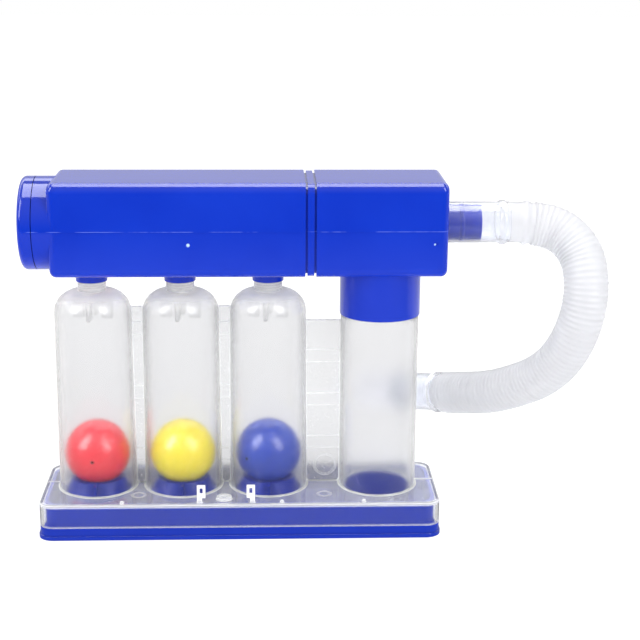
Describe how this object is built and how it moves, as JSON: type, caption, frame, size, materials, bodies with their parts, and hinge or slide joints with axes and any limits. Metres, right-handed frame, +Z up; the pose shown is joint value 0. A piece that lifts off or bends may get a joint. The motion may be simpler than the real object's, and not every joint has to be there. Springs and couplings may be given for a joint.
{
  "type": "incentive spirometer",
  "caption": "Ball-type incentive spirometer: domed flow chambers on a shallow tray, square top duct with end dial, support column, corrugated hose and mouthpiece",
  "frame": {"origin": "centre of the tray's underside, on the surface it stands on", "axes": "+X right along the long side towards the hose port, +Y away from the viewer, +Z up"},
  "size_m": [0.2214, 0.1143, 0.138],
  "materials": {
    "blue_shell": "moulded gloss, royal blue",
    "clear_cover": "clear moulded styrene",
    "frosted_tube": "translucent moulded wall with a fine satin haze",
    "red_ball": "moulded satin red",
    "yellow_ball": "moulded satin yellow",
    "blue_ball": "moulded satin blue",
    "seal_rubber": "soft seal ring",
    "hose_plastic": "flexible translucent corrugated plastic",
    "mouthpiece_white": "moulded white"
  },
  "bodies": {
    "stand": {"base_tray": "blue_shell", "base_cover": "clear_cover", "flow_chamber_1": "frosted_tube", "ball_seat_1": "blue_shell", "link_panel_1": "frosted_tube", "flow_chamber_2": "frosted_tube", "ball_seat_2": "blue_shell", "link_panel_2": "frosted_tube", "flow_chamber_3": "frosted_tube", "ball_seat_3": "blue_shell", "link_panel_3": "frosted_tube", "column_tube": "frosted_tube", "column_floor_cap": "blue_shell", "left_manifold": "blue_shell", "dial_rivet": "blue_shell", "duct_coupler": "blue_shell", "right_duct": "blue_shell", "hose_inlet_cuff": "hose_plastic", "hose": "hose_plastic", "hose_outlet_cuff": "hose_plastic", "mouthpiece": "mouthpiece_white"},
    "red_ball": {"ball_red": "red_ball"},
    "yellow_ball": {"ball_yellow": "yellow_ball"},
    "blue_ball": {"ball_blue": "blue_ball"},
    "dial": {"flow_dial": "blue_shell", "dial_seal": "seal_rubber"}
  },
  "joints": [
    {"name": "red_ball_lift", "type": "slide", "parent": "stand", "child": "red_ball", "axis": [0, 0, 1], "range_m": [0, 0.0424]},
    {"name": "yellow_ball_lift", "type": "slide", "parent": "stand", "child": "yellow_ball", "axis": [0, 0, 1], "range_m": [0, 0.0424]},
    {"name": "blue_ball_lift", "type": "slide", "parent": "stand", "child": "blue_ball", "axis": [0, 0, 1], "range_m": [0, 0.0424]},
    {"name": "dial_turn", "type": "hinge", "parent": "stand", "child": "dial", "pos_m": [-0.0785, 0, 0.1202], "axis": [1, 0, 0], "range_deg": [0, 180]}
  ]
}
